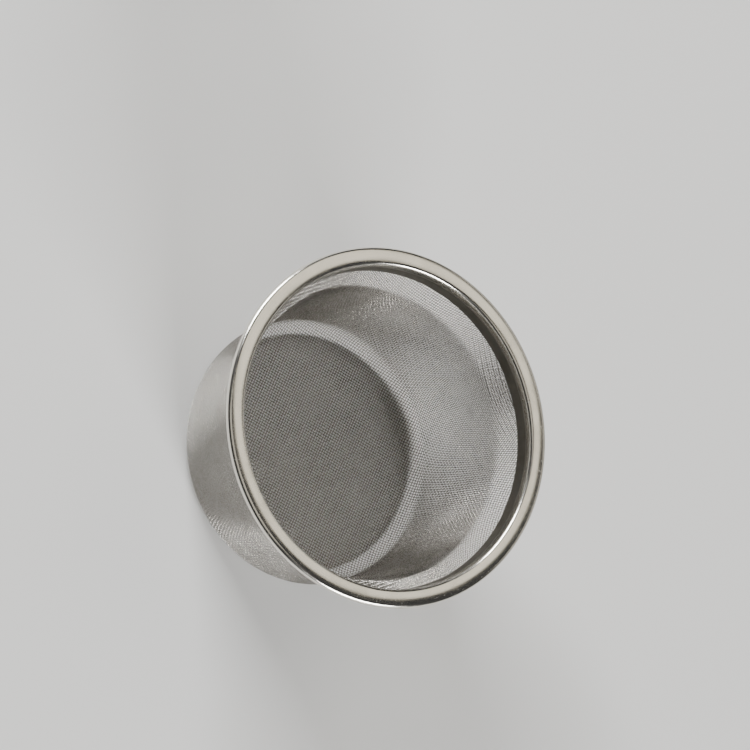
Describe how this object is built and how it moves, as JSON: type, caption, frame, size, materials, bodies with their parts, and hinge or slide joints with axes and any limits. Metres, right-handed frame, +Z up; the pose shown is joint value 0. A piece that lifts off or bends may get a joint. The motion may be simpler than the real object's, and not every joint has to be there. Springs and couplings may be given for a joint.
{
  "type": "teapot infuser basket",
  "caption": "Round drop-in infuser basket for a teapot: a deep-drawn woven wire cup with a rounded base, hung from a rolled steel rim ring with a short collar.",
  "frame": {"origin": "centre of the basket's flat base, where it stands on a surface", "axes": "+Z up along the basket's axis, from the base to the mouth; the cup is round, so X and Y are free"},
  "size_m": [0.08, 0.08, 0.0426],
  "materials": {
    "rim_steel": "polished stainless sheet with fine turning marks and a warm tint, duller inside the collar",
    "wire_cloth": "bare drawn stainless wire, plain weave, satin",
    "band_steel": "unpolished stainless strip with spot-weld marks"
  },
  "bodies": {
    "root": {"rim_ring": "rim_steel", "mesh_cup": "wire_cloth", "clamp_band": "band_steel"}
  },
  "joints": []
}
